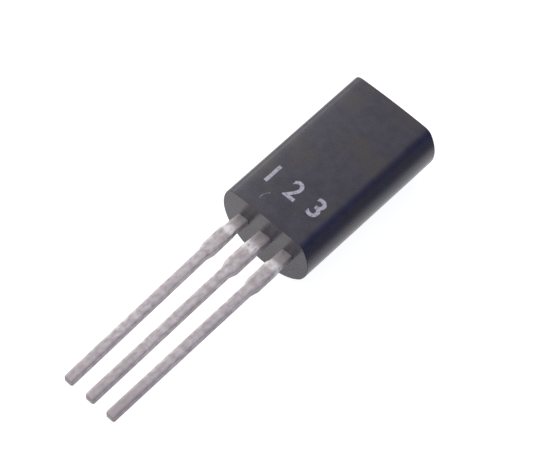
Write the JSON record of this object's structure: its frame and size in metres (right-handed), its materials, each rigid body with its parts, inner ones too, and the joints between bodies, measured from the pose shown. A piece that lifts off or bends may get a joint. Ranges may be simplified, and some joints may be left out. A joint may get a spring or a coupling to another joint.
{
  "type": "to-92 transistor",
  "caption": "Three-lead bipolar transistor in a long-body D-shaped moulded outline, lying on its round back, with straight tinned leads for through-hole soldering.",
  "frame": {"origin": "under the middle of the whole part, body and leads together, on the surface that it lies on", "axes": "+Z is the outward normal of the flat marking face, +Y runs from the lead tips to the top of the body, +X runs across the flat from the emitter lead to the base lead"},
  "size_m": [0.0048, 0.0186, 0.0037],
  "materials": {
    "moulded_resin": "black filled epoxy, satin, with faint mottling and crisp, slightly rounded edges",
    "marking_ink": "thin pale grey printing ink, flat, showing a little of the resin",
    "tinned_lead": "dull solder-dipped tin, slightly uneven, with rounded edges",
    "silicon": "polished",
    "solder": "dull, wetted",
    "bond_wire": "bright drawn gold-coloured wire"
  },
  "bodies": {
    "root": {"body": "moulded_resin", "emitter_lead": "tinned_lead", "collector_lead": "tinned_lead", "base_lead": "tinned_lead", "chip": "silicon", "die_attach": "solder", "emitter_wire": "bond_wire", "base_wire": "bond_wire"}
  },
  "joints": []
}
